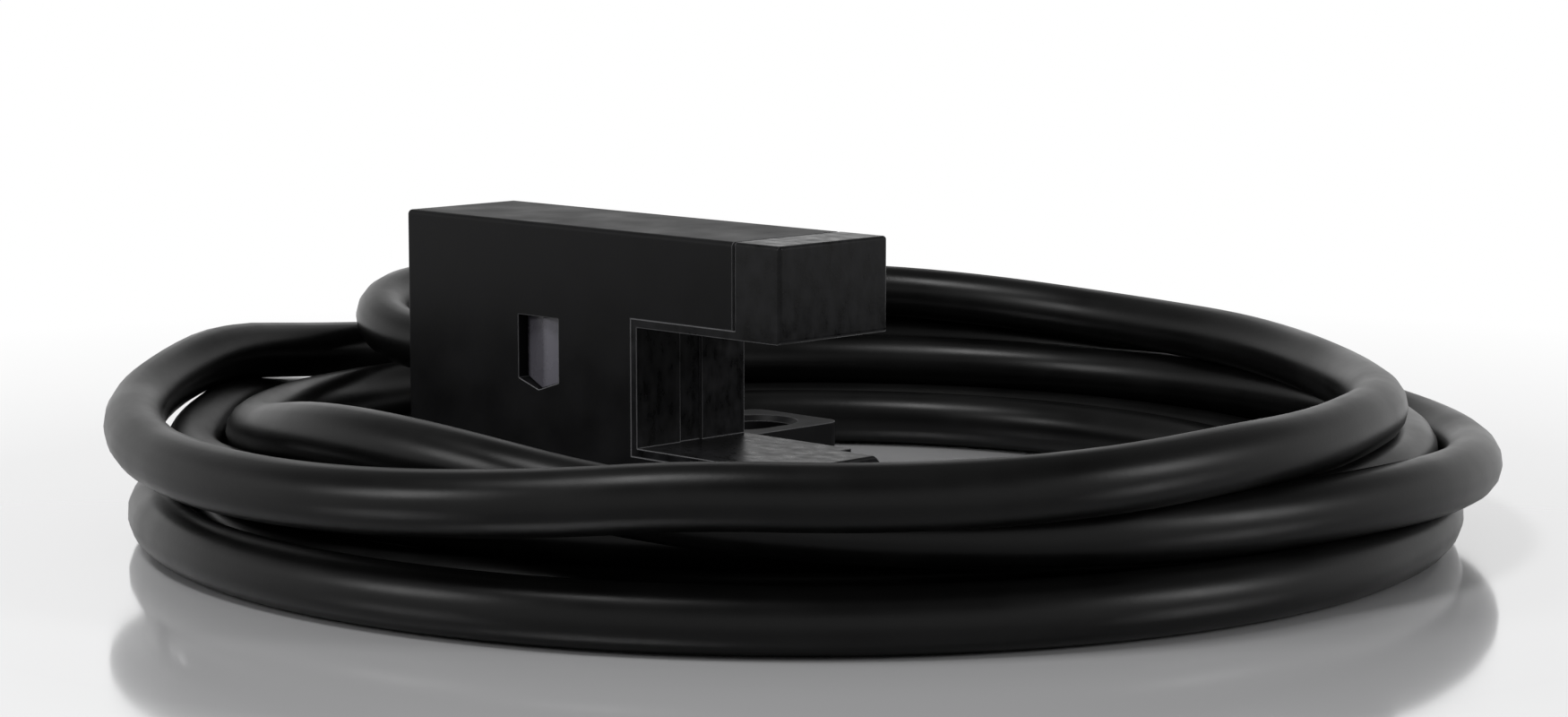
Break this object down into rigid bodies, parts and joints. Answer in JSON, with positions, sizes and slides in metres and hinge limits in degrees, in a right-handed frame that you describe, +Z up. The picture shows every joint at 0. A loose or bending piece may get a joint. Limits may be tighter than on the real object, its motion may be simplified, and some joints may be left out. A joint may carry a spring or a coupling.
{
  "type": "photoelectric fork sensor",
  "caption": "Compact T-shaped slot sensor: black fork housing with flange wings, indicator window and a coiled black cable with stripped core ends.",
  "frame": {"origin": "middle of the two screw slots of the flange wings, on the mounting face", "axes": "+X from the cable end towards the arm tips, +Y along the flange wings, away from the indicator window, +Z up, away from the mounting face"},
  "size_m": [0.0584, 0.0584, 0.0128],
  "materials": {
    "housing_black": "satin",
    "optical_black": "satin",
    "lens_grey": "gloss",
    "cable_black": "satin",
    "core_brown": "satin",
    "core_blue": "satin",
    "core_black": "satin",
    "tin": "satin",
    "clamp_metal": "satin",
    "board_green": "satin",
    "package_black": "matte",
    "led_white": "gloss",
    "ceramic_tan": "satin",
    "resin_black": "satin"
  },
  "bodies": {
    "root": {"case": "housing_black", "optical_insert": "optical_black", "indicator_lens": "lens_grey", "circuit_board": "board_green", "infrared_emitter": "package_black", "light_receiver": "package_black", "slit_plate": "package_black", "emitter_leads": "tin", "receiver_leads": "tin", "indicator_led": "led_white", "control_ic": "package_black", "output_transistor": "package_black", "protection_diode": "package_black", "chip_resistors": "package_black", "chip_capacitors": "ceramic_tan", "component_pins": "tin", "cable_stub": "cable_black", "cable_clamp": "clamp_metal", "sealing_resin": "resin_black", "core_brown": "core_brown", "core_blue": "core_blue", "core_black": "core_black", "solder_joints": "tin", "cable_coil": "cable_black", "cable_lead": "cable_black", "cable_tail": "cable_black", "free_core_brown": "core_brown", "free_core_black": "core_black", "free_core_blue": "core_blue", "tinned_ends": "tin"}
  },
  "joints": []
}
